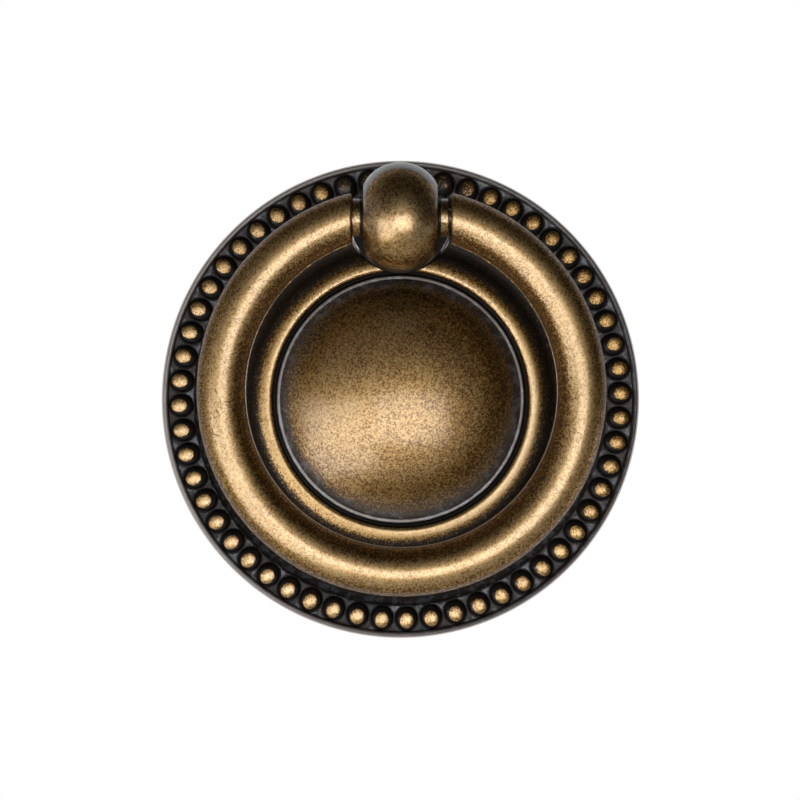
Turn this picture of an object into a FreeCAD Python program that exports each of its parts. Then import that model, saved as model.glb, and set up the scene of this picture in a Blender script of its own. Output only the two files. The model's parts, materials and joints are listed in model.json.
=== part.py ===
import FreeCAD, Part
import math
import os

from FreeCAD import Placement, Rotation, Vector

os.makedirs("parts", exist_ok=True)

# A ring pull for a drawer or a door: a beaded round backplate, a knuckle that stands on it,
# and a ring that swings on a pin through the knuckle.
# Sizes are in millimetres. Each piece is worked out with the backplate lying on its back:
# X to the right, Y towards the top of the door, Z out towards the hand. stood_up then
# turns it into the finished frame, with the front facing -Y and the top of the door at +Z.
# The origin is the centre of the backplate, on the plane of its back.

# Backplate, from its edge inwards
plate_radius = 27.0
plate_wall = 1.4
rim_width = 0.75
rim_rise = 0.7
bead_band_width = 2.95
bead_band_rise = 1.2
band_edge_round = 0.2
channel_width = 4.2
moulding_width = 3.15
moulding_rise = 1.7
moulding_nose_radius = 2.6
moulding_inner_round = 0.45
groove_width = 0.5
groove_floor_rise = 0.4
dome_edge_rise = 1.5
dome_edge_round = 0.15
dome_rise = 5.0
back_rim_width = 1.3
back_recess_draft = 0.15

# Beads on the backplate
bead_count = 56
bead_length = 2.8
bead_width = 2.6
bead_sink = 0.15

# Knuckle
pivot_height = 11.0
ball_radius = 6.17
ball_width = 8.3
cheek_radius = 3.75
cheek_edge_round = 0.3
boss_radius = 2.13
boss_length = 1.2
stem_radius = 2.8
foot_radius = 3.1
foot_thickness = 0.8
foot_edge_round = 0.25
seat_radius = 5.9
seat_rise = 0.1
seat_edge_round = 0.3
tail_radius = 2.75
tail_clearance = 0.05
tail_recess = 0.1
peened_spread = 0.5
peened_depth = 0.6

# Fixing hole for an M4 machine screw, drilled at the tapping size
screw_hole_radius = 1.65
screw_hole_mouth = 0.35
web_under_pin = 1.2

# Pivot pin
pin_radius = 1.0
pin_reach = 2.2
pin_running_clearance = 0.05
pin_end_gap = 0.4

# Ring
ring_bar_radius = 2.7
ring_slack = 0.1
ring_end_gap = 0.17
ring_side_shift = 0.12
ring_end_round = 0.3

# Heights above the back plane, and distances from the backplate's axis
floor_height = plate_wall
band_height = floor_height + bead_band_rise
rim_height = band_height + rim_rise
band_outer = plate_radius - rim_width
band_inner = band_outer - bead_band_width
cove_radius = bead_band_rise - band_edge_round
channel_outer = band_inner - cove_radius
channel_inner = channel_outer - channel_width
channel_middle = (channel_outer + channel_inner) / 2
crest_radius = channel_inner - moulding_width
crest_height = floor_height + moulding_rise
seat_height = crest_height + seat_rise
groove_outer = crest_radius - moulding_inner_round
dome_radius = groove_outer - groove_width
dome_edge_height = floor_height + dome_edge_rise
dome_edge_inner = dome_radius - dome_edge_round
crown_height = dome_edge_height + dome_rise
bead_circle_radius = (band_outer + band_inner) / 2

# The ring hangs in front of the channel, from a pivot over the channel's middle
pivot_y = channel_middle
boss_end = ball_width / 2 + boss_length
ring_end = boss_end + ring_end_gap
ring_radius = channel_middle - ring_slack
ring_drop = math.sqrt(ring_radius**2 - ring_end**2)
ring_bore_radius = pin_radius + pin_running_clearance
pin_half_length = ring_end + pin_reach
ring_bore_end = pin_half_length + pin_end_gap

# The beads' places start a quarter of a pitch to the left of the top
bead_pitch = 360 / bead_count
first_bead = -bead_pitch / 4

plate_axis = Vector(0, 0, 1)
pivot_axis = Vector(1, 0, 0)
pivot = Vector(0, pivot_y, pivot_height)


def on_section(radius, height):
    """A point of a half section: its distance from the axis and its height."""
    return Vector(radius, 0, height)


def line(start, end):
    return Part.LineSegment(start, end).toShape()


def arc(start, middle, end):
    return Part.Arc(start, middle, end).toShape()


def arc_about(centre, radius, start_angle, end_angle):
    """An arc in the section, with its angles in degrees from the outward direction."""
    angles = [start_angle, (start_angle + end_angle) / 2, end_angle]
    turns = [math.radians(angle) for angle in angles]
    return arc(*[centre + Vector(math.cos(t), 0, math.sin(t)) * radius for t in turns])


def turned(edges, axis):
    """The solid that a closed section makes when it is turned once about an axis."""
    section = Part.Face(Part.Wire(edges))
    return section.revolve(Vector(0, 0, 0), axis, 360)


def cylinder(radius, start, end):
    return Part.makeCylinder(radius, (end - start).Length, start, end - start)


def cone(start_radius, end_radius, start, end):
    return Part.makeCone(start_radius, end_radius, (end - start).Length, start, end - start)


def round_edges(solid, radius, wanted):
    """The solid with the edges that wanted() picks rounded to a radius."""
    return solid.makeFillet(radius, [edge for edge in solid.Edges if wanted(edge)])


def stood_up(shape):
    """The shape turned from lying on its back to standing against the door."""
    turned_shape = shape.copy()
    turned_shape.Placement = Placement(Vector(), Rotation(pivot_axis, 90)) * shape.Placement
    return turned_shape


def above_pivot_foot(height):
    """A point on the knuckle's own axis, at a height above the back plane."""
    return Vector(0, pivot_y, height)


def ogee_edges():
    """The moulding's outer slope: up from the channel in a hollow, then over a round nose."""
    turn = 2 * math.atan2(moulding_rise, moulding_width)
    hollow_radius = moulding_width / math.sin(turn) - moulding_nose_radius
    hollow_centre = on_section(channel_inner, floor_height + hollow_radius)
    nose_centre = on_section(crest_radius, crest_height - moulding_nose_radius)
    turn_degrees = math.degrees(turn)
    hollow = arc_about(hollow_centre, hollow_radius, 270, 270 - turn_degrees)
    nose = arc_about(nose_centre, moulding_nose_radius, 90 - turn_degrees, 90)
    return [hollow, nose]


def plate_section():
    """The backplate's half section, from the back of its rim over its front to its axis."""
    lip = rim_width / 2
    lip_centre = on_section(plate_radius - lip, rim_height - lip)
    band_round_centre = on_section(band_inner + band_edge_round, band_height - band_edge_round)
    cove_centre = on_section(channel_outer, floor_height + cove_radius)
    inner_round_centre = on_section(groove_outer + moulding_inner_round, crest_height - moulding_inner_round)
    groove_half = groove_width / 2
    groove_centre = on_section(groove_outer - groove_half, floor_height + groove_floor_rise + groove_half)
    dome_round_centre = on_section(dome_edge_inner, dome_edge_height - dome_edge_round)

    dome_sphere_radius = (dome_edge_inner**2 + dome_rise**2) / (2 * dome_rise)
    sphere_centre_height = crown_height - dome_sphere_radius
    inner_sphere_radius = dome_sphere_radius - plate_wall
    recess_radius = dome_radius - plate_wall

    def on_sphere(sphere_radius, radius):
        height = sphere_centre_height + math.sqrt(sphere_radius**2 - radius**2)
        return on_section(radius, height)

    crown = on_section(0, crown_height)
    recess_crown = on_sphere(inner_sphere_radius, 0)
    recess_corner = on_sphere(inner_sphere_radius, recess_radius)

    bead_recess_outer = plate_radius - back_rim_width
    bead_recess_inner = band_inner + plate_wall / 2
    bead_recess_roof = band_height - plate_wall

    front = [
        line(on_section(plate_radius, 0), on_section(plate_radius, rim_height - lip)),
        arc_about(lip_centre, lip, 0, 180),
        line(on_section(band_outer, rim_height - lip), on_section(band_outer, band_height)),
        line(on_section(band_outer, band_height), on_section(band_inner + band_edge_round, band_height)),
        arc_about(band_round_centre, band_edge_round, 90, 180),
        arc_about(cove_centre, cove_radius, 0, -90),
        line(on_section(channel_outer, floor_height), on_section(channel_inner, floor_height)),
        *ogee_edges(),
        arc_about(inner_round_centre, moulding_inner_round, 90, 180),
        line(inner_round_centre + Vector(-moulding_inner_round, 0, 0), groove_centre + Vector(groove_half, 0, 0)),
        arc_about(groove_centre, groove_half, 0, -180),
        line(groove_centre - Vector(groove_half, 0, 0), dome_round_centre + Vector(dome_edge_round, 0, 0)),
        arc_about(dome_round_centre, dome_edge_round, 0, 90),
        arc(on_section(dome_edge_inner, dome_edge_height), on_sphere(dome_sphere_radius, dome_edge_inner / 2), crown),
    ]
    back = [
        line(crown, recess_crown),
        arc(recess_crown, on_sphere(inner_sphere_radius, recess_radius / 2), recess_corner),
        line(recess_corner, on_section(recess_radius + back_recess_draft, 0)),
        line(on_section(recess_radius + back_recess_draft, 0), on_section(bead_recess_inner, 0)),
        line(on_section(bead_recess_inner, 0), on_section(bead_recess_inner + back_recess_draft, bead_recess_roof)),
        line(
            on_section(bead_recess_inner + back_recess_draft, bead_recess_roof),
            on_section(bead_recess_outer - back_recess_draft, bead_recess_roof),
        ),
        line(on_section(bead_recess_outer - back_recess_draft, bead_recess_roof), on_section(bead_recess_outer, 0)),
        line(on_section(bead_recess_outer, 0), on_section(plate_radius, 0)),
    ]
    return front + back


def bead():
    """Half of an egg-shaped bead, long along X, flat side down on the XY plane."""
    half_length = bead_length / 2
    half_width = bead_width / 2
    outline = Part.Ellipse(Vector(half_length, 0, 0), Vector(0, half_width, 0), Vector(0, 0, 0))
    curve = Part.ArcOfEllipse(outline, 0, math.pi).toShape()
    chord = line(Vector(-half_length, 0, 0), Vector(half_length, 0, 0))
    face = Part.Face(Part.Wire([curve, chord]))
    return face.revolve(Vector(0, 0, 0), pivot_axis, 180)


def beads():
    placed = []
    for number in range(bead_count):
        from_top = first_bead + number * bead_pitch
        one = bead()
        one.translate(Vector(bead_circle_radius, 0, band_height - bead_sink))
        one.rotate(Vector(0, 0, 0), plate_axis, 90 - from_top)
        placed.append(one)
    return placed


def seat():
    """The round pad that the knuckle stands on, across the channel, with a rounded edge."""
    round_centre = on_section(seat_radius - seat_edge_round, seat_height - seat_edge_round)
    section = [
        line(on_section(0, floor_height / 2), on_section(seat_radius, floor_height / 2)),
        line(on_section(seat_radius, floor_height / 2), on_section(seat_radius, seat_height - seat_edge_round)),
        arc_about(round_centre, seat_edge_round, 0, 90),
        line(on_section(seat_radius - seat_edge_round, seat_height), on_section(0, seat_height)),
        line(on_section(0, seat_height), on_section(0, floor_height / 2)),
    ]
    pad = turned(section, plate_axis)
    pad.translate(above_pivot_foot(0))
    return pad


def backplate():
    """One casting: rim, beads, channel, moulding and dome, hollow behind, with a seat and a hole for the knuckle."""
    plate = turned(plate_section(), plate_axis)
    plate = plate.multiFuse([seat()] + beads()).removeSplitter()

    hole_radius = tail_radius + tail_clearance
    hole = cylinder(hole_radius, above_pivot_foot(0), above_pivot_foot(seat_height))
    countersink = cone(
        hole_radius + peened_spread,
        hole_radius,
        above_pivot_foot(0),
        above_pivot_foot(tail_recess + peened_depth),
    )
    return plate.cut(hole).cut(countersink)


def ball():
    """The knuckle's ball: round about the pivot, with flat cheeks and a boss on each."""
    cheek = ball_width / 2

    def beside(x, radius):
        return Vector(x, 0, radius)

    section = [
        line(beside(-boss_end, 0), beside(-boss_end, boss_radius)),
        line(beside(-boss_end, boss_radius), beside(-cheek, boss_radius)),
        line(beside(-cheek, boss_radius), beside(-cheek, cheek_radius)),
        arc(beside(-cheek, cheek_radius), beside(0, ball_radius), beside(cheek, cheek_radius)),
        line(beside(cheek, cheek_radius), beside(cheek, boss_radius)),
        line(beside(cheek, boss_radius), beside(boss_end, boss_radius)),
        line(beside(boss_end, boss_radius), beside(boss_end, 0)),
        line(beside(boss_end, 0), beside(-boss_end, 0)),
    ]
    solid = turned(section, pivot_axis)

    def is_cheek_edge(edge):
        centre = edge.BoundBox.Center
        wide = edge.BoundBox.ZLength > 2 * boss_radius + cheek_edge_round
        return wide and abs(abs(centre.x) - cheek) < cheek_edge_round / 2

    solid = round_edges(solid, cheek_edge_round, is_cheek_edge)
    solid.translate(pivot)
    return solid


def knuckle():
    """One casting: ball and bosses, stem, foot, and a tail that is peened over behind the backplate."""
    foot_top = seat_height + foot_thickness
    tail_end = tail_recess
    foot = cylinder(foot_radius, above_pivot_foot(seat_height), above_pivot_foot(foot_top))
    foot = round_edges(foot, foot_edge_round, lambda edge: edge.BoundBox.ZMin > foot_top - foot_edge_round)
    stem = cylinder(stem_radius, above_pivot_foot(seat_height), above_pivot_foot(pivot_height))
    tail = cylinder(tail_radius, above_pivot_foot(tail_end), above_pivot_foot(seat_height))
    peened = cone(
        tail_radius + peened_spread * peened_depth / (tail_recess + peened_depth),
        tail_radius,
        above_pivot_foot(tail_end),
        above_pivot_foot(tail_recess + peened_depth),
    )
    casting = ball().multiFuse([foot, stem, tail, peened]).removeSplitter()

    drill_tip = screw_hole_radius * math.tan(math.radians(30))
    hole_end = pivot_height - pin_radius - web_under_pin - drill_tip
    screw_hole = cylinder(screw_hole_radius, above_pivot_foot(tail_end), above_pivot_foot(hole_end))
    tip = cone(screw_hole_radius, 0, above_pivot_foot(hole_end), above_pivot_foot(hole_end + drill_tip))
    mouth = cone(
        screw_hole_radius + screw_hole_mouth,
        screw_hole_radius,
        above_pivot_foot(tail_end),
        above_pivot_foot(tail_end + screw_hole_mouth),
    )
    pin_hole = cylinder(pin_radius, pivot - pivot_axis * boss_end, pivot + pivot_axis * boss_end)
    return casting.cut(screw_hole.multiFuse([tip, mouth])).cut(pin_hole)


def pivot_pin():
    """A plain steel pin, driven through the knuckle, with an end in each end of the ring."""
    return cylinder(pin_radius, pivot - pivot_axis * pin_half_length, pivot + pivot_axis * pin_half_length)


def ring():
    """A round bar bent to a ring, cut off square beside the bosses, with a blind hole in each end for the pin."""
    shift = Vector(ring_side_shift, 0, 0)
    centre = pivot + shift - Vector(0, ring_drop, 0)
    bar = Part.makeTorus(ring_radius, ring_bar_radius, centre, plate_axis)
    reach = 2 * ring_bar_radius
    low_corner = pivot + shift - Vector(ring_end, ring_radius / 2, reach)
    gap = Part.makeBox(2 * ring_end, ring_radius / 2 + reach, 2 * reach, low_corner)
    bar = bar.cut(gap)

    def is_end_edge(edge):
        across = edge.BoundBox.XLength < ring_end_gap
        return across and abs(abs(edge.BoundBox.Center.x - shift.x) - ring_end) < ring_end_gap

    bar = round_edges(bar, ring_end_round, is_end_edge)
    bore = cylinder(
        ring_bore_radius,
        pivot + shift - pivot_axis * ring_bore_end,
        pivot + shift + pivot_axis * ring_bore_end,
    )
    return bar.cut(bore)


def write(node, shape):
    """Write one piece, stood up in the finished frame, and say what it holds."""
    solids = [stood_up(solid) for solid in shape.Solids]
    whole = solids[0] if len(solids) == 1 else Part.makeCompound(solids)
    whole.exportStep(f"parts/{node}.step")
    print(node, "solids", len(solids), "valid", whole.isValid(), "volume", round(whole.Volume, 2))


write("backplate", backplate())
write("knuckle", knuckle())
write("pivot_pin", pivot_pin())
write("ring", ring())
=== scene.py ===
import json
import math

import bpy
from mathutils import Matrix, Vector


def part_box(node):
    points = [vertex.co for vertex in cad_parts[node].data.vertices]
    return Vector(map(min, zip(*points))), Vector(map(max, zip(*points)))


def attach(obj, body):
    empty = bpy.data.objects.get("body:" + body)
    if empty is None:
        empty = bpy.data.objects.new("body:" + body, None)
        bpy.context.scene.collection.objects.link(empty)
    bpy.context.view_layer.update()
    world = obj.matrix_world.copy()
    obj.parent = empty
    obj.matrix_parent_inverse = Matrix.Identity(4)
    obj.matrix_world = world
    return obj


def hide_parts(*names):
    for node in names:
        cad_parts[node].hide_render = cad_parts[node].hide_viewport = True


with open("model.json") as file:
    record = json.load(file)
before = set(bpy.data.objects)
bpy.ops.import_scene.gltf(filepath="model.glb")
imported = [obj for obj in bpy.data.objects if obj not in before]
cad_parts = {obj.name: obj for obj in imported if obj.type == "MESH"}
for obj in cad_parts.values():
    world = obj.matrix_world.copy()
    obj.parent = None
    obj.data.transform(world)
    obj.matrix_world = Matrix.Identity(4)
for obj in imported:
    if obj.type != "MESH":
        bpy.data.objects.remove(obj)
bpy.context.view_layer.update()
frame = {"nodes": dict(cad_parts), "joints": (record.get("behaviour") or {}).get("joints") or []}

MM = 0.001

# Places taken from the frame: the boxes of the solids and the pivot of the ring
plate_low, plate_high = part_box("backplate")
ring_low, ring_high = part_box("ring")
knuckle_low, knuckle_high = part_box("knuckle")
pin_low, pin_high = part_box("pivot_pin")
pivot = Vector(frame["joints"][0]["pos_m"])

# Backplate: distances from its axis and heights above its back, as in the solid
plate_radius = (plate_high.x - plate_low.x) / 2
crown_height = -plate_low.y
plate_wall = 1.4 * MM
rim_width = 0.75 * MM
rim_rise = 0.7 * MM
band_width = 2.95 * MM
band_rise = 1.2 * MM
band_edge_round = 0.2 * MM
channel_width = 4.2 * MM
moulding_width = 3.15 * MM
moulding_rise = 1.7 * MM
moulding_nose_radius = 2.6 * MM
moulding_inner_round = 0.45 * MM
groove_width = 0.5 * MM
groove_floor_rise = 0.4 * MM
dome_edge_rise = 1.5 * MM
dome_edge_round = 0.15 * MM
back_rim_width = 1.3 * MM
back_recess_draft = 0.15 * MM
back_corner_round = 0.5 * MM
back_edge_bevel = 0.1 * MM
band_foot_round = 0.1 * MM

floor_height = plate_wall
band_height = floor_height + band_rise
rim_height = band_height + rim_rise
band_outer = plate_radius - rim_width
band_inner = band_outer - band_width
cove_radius = band_rise - band_edge_round
channel_outer = band_inner - cove_radius
channel_inner = channel_outer - channel_width
crest_radius = channel_inner - moulding_width
crest_height = floor_height + moulding_rise
groove_outer = crest_radius - moulding_inner_round
dome_radius = groove_outer - groove_width
dome_edge_height = floor_height + dome_edge_rise
dome_edge_inner = dome_radius - dome_edge_round
dome_rise = crown_height - dome_edge_height
dome_sphere = (dome_edge_inner**2 + dome_rise**2) / (2 * dome_rise)
dome_centre = crown_height - dome_sphere
rim_crown_width = 0.36 * MM
rim_crown_rise = 1.1 * MM
lip_width = 0.38 * MM
lip_round = 0.16 * MM
lip_height = dome_edge_height - 0.05 * MM
lip_step = 0.08 * MM

bead_count = 56
bead_length = 2.8 * MM
bead_width = 2.6 * MM
bead_sink = 0.15 * MM
bead_fullness = 2.7
bead_steps = 14
bead_sides = 32
bead_circle = (band_outer + band_inner) / 2
bead_pitch = math.tau / bead_count
first_bead = -bead_pitch / 4

seat_height = crest_height + 0.1 * MM

# Knuckle: distances along the pin from its middle, and radii about the pin or about its own stem
ball_radius = 6.164 * MM
ball_half = 4.15 * MM
cheek_radius = 3.75 * MM
ball_arc_centre = (ball_radius**2 - cheek_radius**2 - ball_half**2) / (2 * (ball_radius - cheek_radius))
ball_arc_radius = ball_radius - ball_arc_centre
cheek_round = 0.3 * MM
cheek_step = 0.12 * MM
cheek_blend_degrees = 5.5
boss_radius = 2.13 * MM
boss_end = (knuckle_high.x - knuckle_low.x) / 2
boss_round = 0.12 * MM
boss_foot_round = 0.2 * MM
pin_radius = (pin_high.z - pin_low.z) / 2
stem_radius = 2.8 * MM
foot_radius = 3.1 * MM
foot_thickness = 0.8 * MM
foot_round = 0.25 * MM
seat_radius = 5.9 * MM
seat_edge_round = 0.3 * MM
tail_radius = 2.75 * MM
tail_clearance = 0.05 * MM
tail_recess = -knuckle_high.y
peened_spread = 0.5 * MM
peened_depth = 0.6 * MM
screw_hole_radius = 1.65 * MM
screw_thread_radius = 2.0 * MM
screw_pitch = 0.7 * MM
screw_hole_depth = 7.5 * MM
screw_hole_tip = 0.9 * MM
screw_mouth_radius = screw_thread_radius + 0.15 * MM
screw_run_in = 0.3 * MM
screw_root = (0.42, 0.58)
web_over_stem = 0.6 * MM

# Ring
bar_radius = (ring_high.y - ring_low.y) / 2
ring_middle_x = (ring_high.x + ring_low.x) / 2
ring_radius = (ring_high.x - ring_low.x) / 2 - bar_radius
ring_centre = Vector((ring_middle_x, pivot.y, ring_low.z + bar_radius + ring_radius))
ring_end = math.sqrt(ring_radius**2 - (pivot.z - ring_centre.z) ** 2)
ring_end_round = 0.3 * MM
ring_bore_radius = pin_radius + 0.05 * MM
ring_bore_depth = 2.6 * MM
seam_height = 0.10 * MM
seam_half_width = 0.02 * MM
ring_segments = 320
bar_segments = 120

# Angles, in degrees, above which an edge stays sharp, and how near two points are to be merged
plate_sharp_edge = 38
knuckle_sharp_edge = 34
ring_sharp_edge = 40
merge_reach = 0.002 * MM
bisect_reach = 0.0005 * MM

# The photograph's view: straight at the plate, whose outline fills this much of the picture
picture_size = 800
plate_centre_pixel = (400.40, 399.33)
plate_radius_pixels = 238.55
camera_distance = 0.5033
sensor_width = 36.0

stage_floor_height = -0.55
stage_floor_size = 6

# Lamps, all at one distance. Place: degrees off the plate's axis, and clockwise from the top seen from
# the front. Size: width and height in metres.
lamp_distance = 0.60
front_lamp_place = (13.5, 155)
front_lamp_size = (0.49, 0.33)
front_lamp_watts = 0.62
front_fill_watts = 0.66
left_lamp_place = (46.5, 237)
left_lamp_size = (0.45, 0.45)
left_lamp_watts = 1.10


def add_camera():
    """Looks straight along the plate's axis, so that the rim is as large as in the photograph."""
    to_rim = camera_distance - (rim_height - rim_crown_rise)
    metres_per_pixel = plate_radius / plate_radius_pixels
    across = plate_centre_pixel[0] - picture_size / 2
    down = plate_centre_pixel[1] - picture_size / 2
    data = bpy.data.cameras.new("photo_camera")
    data.sensor_width = sensor_width
    data.lens = sensor_width * to_rim / (picture_size * metres_per_pixel)
    data.clip_start = 0.01
    camera = bpy.data.objects.new("photo_camera", data)
    camera.location = (-across * metres_per_pixel, -camera_distance, down * metres_per_pixel)
    camera.rotation_euler = (math.radians(90), 0, 0)
    bpy.context.scene.collection.objects.link(camera)
    bpy.context.scene.camera = camera


def add_softbox(name, place, size, watts, shades=True):
    """A rectangular studio lamp that faces the object, with or without shadows."""
    data = bpy.data.lights.new(name, "AREA")
    data.use_shadow = shades
    data.cycles.use_multiple_importance_sampling = shades
    data.shape = "RECTANGLE"
    data.size, data.size_y = size
    data.energy = watts
    lamp = bpy.data.objects.new(name, data)
    lamp.location = Vector(from_the_front(*place)).normalized() * lamp_distance
    lamp.rotation_euler = (-lamp.location).to_track_quat("-Z", "Y").to_euler()
    bpy.context.scene.collection.objects.link(lamp)


def from_the_front(degrees_off, clockwise_from_top):
    """A direction, by how far it lies off the plate's axis and which way, seen from the front."""
    off = math.radians(degrees_off)
    turn = math.radians(clockwise_from_top)
    return (math.sin(off) * math.sin(turn), -math.cos(off), math.sin(off) * math.cos(turn))


class Wire:
    """A value or colour in a material, which takes part in sums as a number does."""

    def __init__(self, tree, socket):
        self.tree = tree
        self.socket = socket

    def sum(self, operation, *values):
        node = self.tree.nodes.new("ShaderNodeMath")
        node.operation = operation
        for place, value in zip(node.inputs, values):
            if isinstance(value, Wire):
                self.tree.links.new(value.socket, place)
            else:
                place.default_value = value
        return Wire(self.tree, node.outputs[0])

    def __add__(self, other):
        return self.sum("ADD", self, other)

    def __sub__(self, other):
        return self.sum("SUBTRACT", self, other)

    def __mul__(self, other):
        return self.sum("MULTIPLY", self, other)

    def __truediv__(self, other):
        return self.sum("DIVIDE", self, other)

    def __pow__(self, other):
        return self.sum("POWER", self, other)

    def __radd__(self, other):
        return self.sum("ADD", other, self)

    def __rsub__(self, other):
        return self.sum("SUBTRACT", other, self)

    def __rmul__(self, other):
        return self.sum("MULTIPLY", other, self)

    def __rtruediv__(self, other):
        return self.sum("DIVIDE", other, self)

    def __neg__(self):
        return self.sum("MULTIPLY", self, -1)

    def __abs__(self):
        return self.sum("ABSOLUTE", self)

    def root(self):
        return self.sum("SQRT", self)

    def limited(self):
        """The value kept between 0 and 1."""
        return self.sum("MINIMUM", self.sum("MAXIMUM", self, 0), 1)

    def rising(self, low, high):
        """0 below low, 1 above high, and smooth between."""
        node = self.tree.nodes.new("ShaderNodeMapRange")
        node.interpolation_type = "SMOOTHSTEP"
        self.tree.links.new(self.socket, node.inputs["Value"])
        node.inputs["From Min"].default_value = low
        node.inputs["From Max"].default_value = high
        return Wire(self.tree, node.outputs[0])

    def falling(self, low, high):
        """1 below low, 0 above high, and smooth between."""
        return 1 - self.rising(low, high)

    def larger(self, other):
        return self.sum("MAXIMUM", self, other)

    def smaller(self, other):
        return self.sum("MINIMUM", self, other)


class Finish:
    """A material or world under way: its node tree, and short ways to add to it."""

    def __init__(self, owner):
        owner.use_nodes = True
        self.tree = owner.node_tree
        self.tree.nodes.clear()

    def node(self, kind, settings=None, inputs=None, output=0):
        """Adds a node, sets its settings first and then its inputs, and returns one output."""
        node = self.tree.nodes.new(kind)
        for name, value in (settings or {}).items():
            if name == "stops":
                self.set_stops(node.color_ramp, value)
            else:
                setattr(node, name, value)
        for name, value in (inputs or {}).items():
            if isinstance(value, Wire):
                self.tree.links.new(value.socket, node.inputs[name])
            else:
                node.inputs[name].default_value = value
        return Wire(self.tree, node.outputs[output])

    def set_stops(self, ramp, stops):
        while len(ramp.elements) > 1:
            ramp.elements.remove(ramp.elements[-1])
        for number, (place, colour) in enumerate(stops):
            element = ramp.elements[0] if number == 0 else ramp.elements.new(place)
            element.position = place
            element.color = colour

    def places(self):
        """The object's own coordinates, in metres: the vector, and its x, y and z."""
        vector = self.node("ShaderNodeTexCoord", output="Object")
        return [vector] + self.parts(vector)

    def parts(self, vector):
        """The x, y and z of a vector."""
        split = self.tree.nodes.new("ShaderNodeSeparateXYZ")
        self.tree.links.new(vector.socket, split.inputs[0])
        return [Wire(self.tree, socket) for socket in split.outputs]

    def noise(self, vector, grain, detail=3.0, roughness=0.55, distortion=0.0, seed=0.0):
        """Noise from 0 to 1 with features about one grain across, in metres."""
        return self.node(
            "ShaderNodeTexNoise",
            {"noise_dimensions": "4D"},
            {
                "Vector": vector,
                "Scale": 1 / grain,
                "Detail": detail,
                "Roughness": roughness,
                "Distortion": distortion,
                "W": seed,
            },
        )

    def blend(self, factor, first, second):
        """A colour between two colours."""
        node = self.tree.nodes.new("ShaderNodeMix")
        node.data_type = "RGBA"
        sockets = [node.inputs["Factor"], node.inputs[6], node.inputs[7]]
        for socket, value in zip(sockets, (factor, first, second)):
            if isinstance(value, Wire):
                self.tree.links.new(value.socket, socket)
            else:
                socket.default_value = value
        return Wire(self.tree, node.outputs[2])

    def by_distance(self, distance, furthest, table):
        """A number read from a table of (distance, number) pairs, in straight stretches."""
        stops = [(place / furthest, (value, value, value, 1)) for place, value in table]
        share = distance / furthest
        return self.node("ShaderNodeValToRGB", {"stops": stops}, {"Fac": share})

    def finish(self, shader, surface="ShaderNodeOutputMaterial"):
        output = self.tree.nodes.new(surface)
        self.tree.links.new(shader.socket, output.inputs["Surface"])


# Light that the metal reflects, by direction: a soft glow in front, dim above, brighter at the
# lower left, and pale behind
dim_glow = 0.018
front_glow = 0.20
front_glow_from = (0.45, 1.0)
glow_direction = Vector(from_the_front(12, 175))
low_left_glow = 0.45
low_left_degrees = 222
low_left = Vector((math.sin(math.radians(low_left_degrees)), 0, math.cos(math.radians(low_left_degrees))))
pale_glow = (0.70, 1.05)
pale_from = (0.30, 0.60)


def along(places, direction):
    """How far a vector, given by its three parts, points in a direction."""
    return sum(part * share for part, share in zip(places, direction))


def add_world():
    world = bpy.data.worlds.new("studio")
    bpy.context.scene.world = world
    sky = Finish(world)
    parts = sky.parts(sky.node("ShaderNodeTexCoord", output="Generated"))
    backward = parts[1]
    towards_low_left = (along(parts, low_left) + 1) / 2
    in_front = (-backward).larger(0)
    beside = low_left_glow * towards_low_left**3 * (1 - in_front * in_front) + dim_glow
    beside = beside + along(parts, glow_direction).rising(*front_glow_from) * front_glow
    behind = pale_glow[0] + (pale_glow[1] - pale_glow[0]) * towards_low_left
    level = beside + (behind - beside) * backward.rising(*pale_from)
    seen = sky.node("ShaderNodeLightPath", output="Is Camera Ray")
    level = level + (1 - level) * seen
    background = sky.node("ShaderNodeBackground", inputs={"Color": (1, 1, 1, 1), "Strength": level})
    sky.finish(background, "ShaderNodeOutputWorld")


def add_floor():
    """A plain pale floor well below the handle and the lamps, white where the camera sees it."""
    bpy.ops.mesh.primitive_plane_add(size=stage_floor_size, location=(0, 0, stage_floor_height))
    floor = bpy.context.object
    floor.name = "floor"
    paint = bpy.data.materials.new("pale_floor")
    finish = Finish(paint)
    pale = finish.node("ShaderNodeBsdfDiffuse", inputs={"Color": (0.8, 0.8, 0.8, 1)})
    white = finish.node("ShaderNodeEmission", inputs={"Color": (1, 1, 1, 1), "Strength": 1.0})
    seen = finish.node("ShaderNodeLightPath", output="Is Camera Ray")
    mirrored = finish.node("ShaderNodeLightPath", output="Is Glossy Ray")
    backward = finish.places()[2]
    behind = backward.rising(0.0, 0.5)
    mixed = finish.node(
        "ShaderNodeMixShader", inputs={"Fac": seen.larger(mirrored * behind), 1: pale, 2: white}
    )
    finish.finish(mixed)
    floor.data.materials.append(paint)


def deselect():
    bpy.ops.object.select_all(action="DESELECT")


def only(piece):
    """Makes a piece the one that is selected and worked on."""
    deselect()
    piece.select_set(True)
    bpy.context.view_layer.objects.active = piece


def arc_points(centre, radius, start, end, steps):
    """Points along an arc in an outline: (distance, height) pairs, with angles in degrees."""
    points = []
    for step in range(steps + 1):
        turn = math.radians(start + (end - start) * step / steps)
        points.append((centre[0] + radius * math.cos(turn), centre[1] + radius * math.sin(turn)))
    return points


def straight_points(start, end, steps):
    """Points along a straight stretch of an outline, without its two ends."""
    shares = [step / steps for step in range(1, steps)]
    return [(start[0] + (end[0] - start[0]) * s, start[1] + (end[1] - start[1]) * s) for s in shares]


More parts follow.
